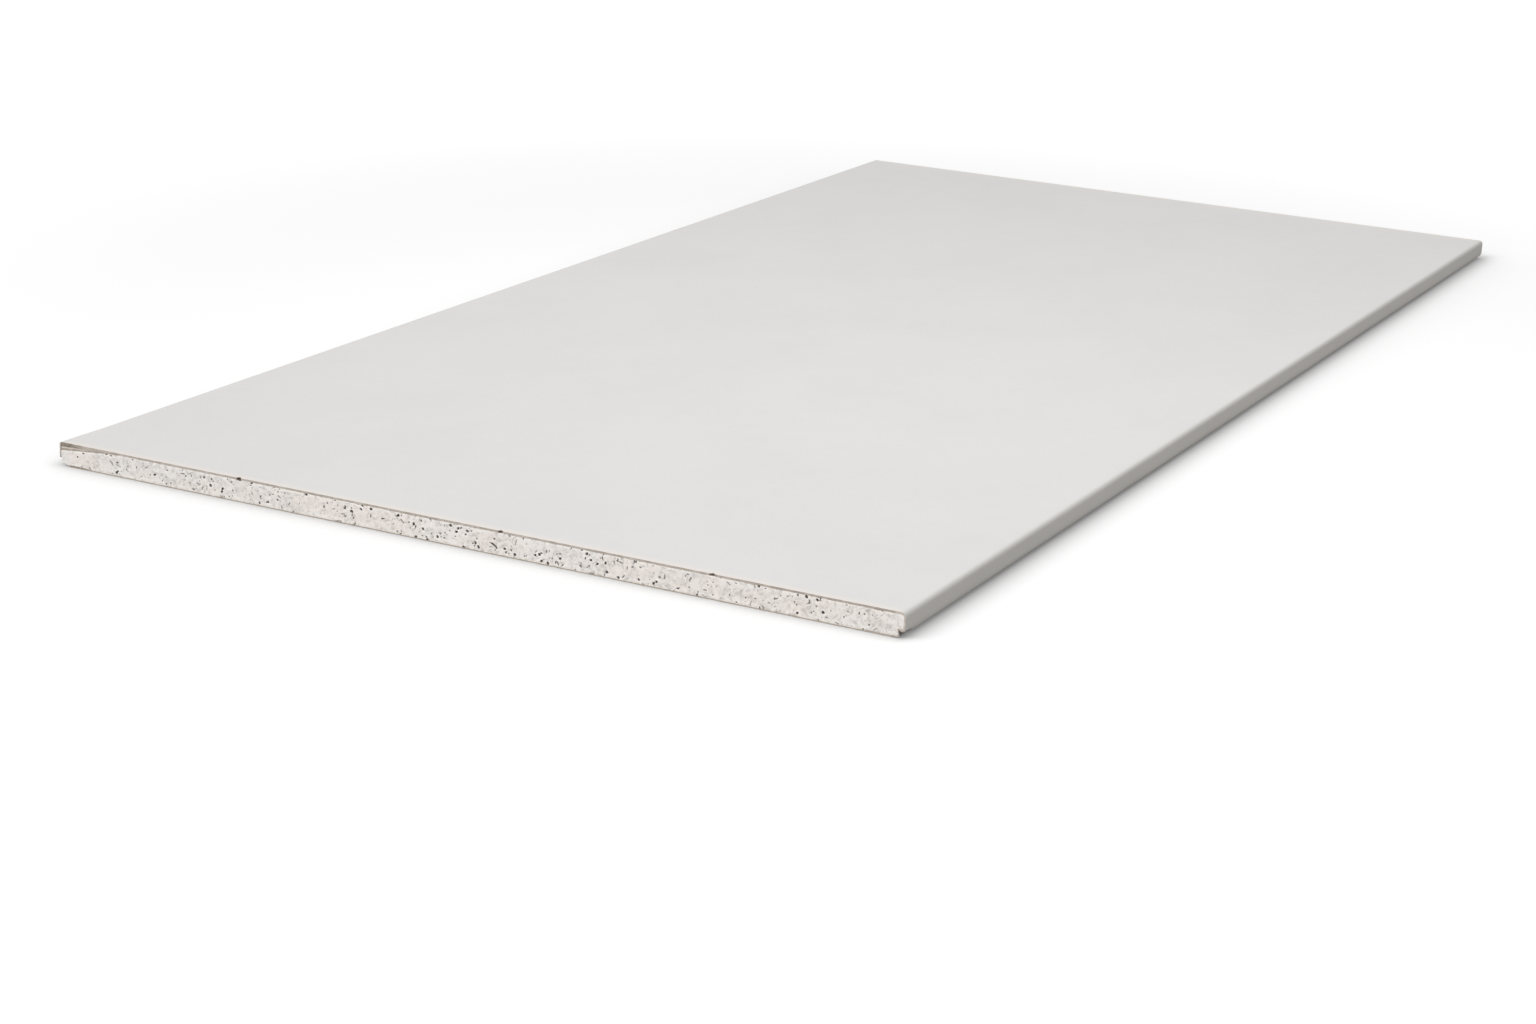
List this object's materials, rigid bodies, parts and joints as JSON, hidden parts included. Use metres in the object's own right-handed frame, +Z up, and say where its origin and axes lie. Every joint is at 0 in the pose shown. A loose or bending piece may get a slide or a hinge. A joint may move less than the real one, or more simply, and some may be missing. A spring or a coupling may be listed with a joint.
{
  "type": "drywall sheet",
  "caption": "Flat gypsum board panel with a porous core, a face paper wrapped round its long edges and a lapped back paper, cut square at its ends, for lining walls and ceilings.",
  "frame": {"origin": "under the middle of the sheet, on the surface that it lies on, back down", "axes": "+X across the sheet between its wrapped long edges, +Y along the sheet between its cut ends, +Z up through its thickness, out of the face"},
  "size_m": [0.61, 1.22, 0.0159],
  "materials": {
    "gypsum": "matte, porous, with dark specks and fibres",
    "face_paper": "matte, ivory grey",
    "back_paper": "matte, grey brown recycled paper"
  },
  "bodies": {
    "root": {"gypsum_core": "gypsum", "face_paper": "face_paper", "back_paper": "back_paper"}
  },
  "joints": []
}
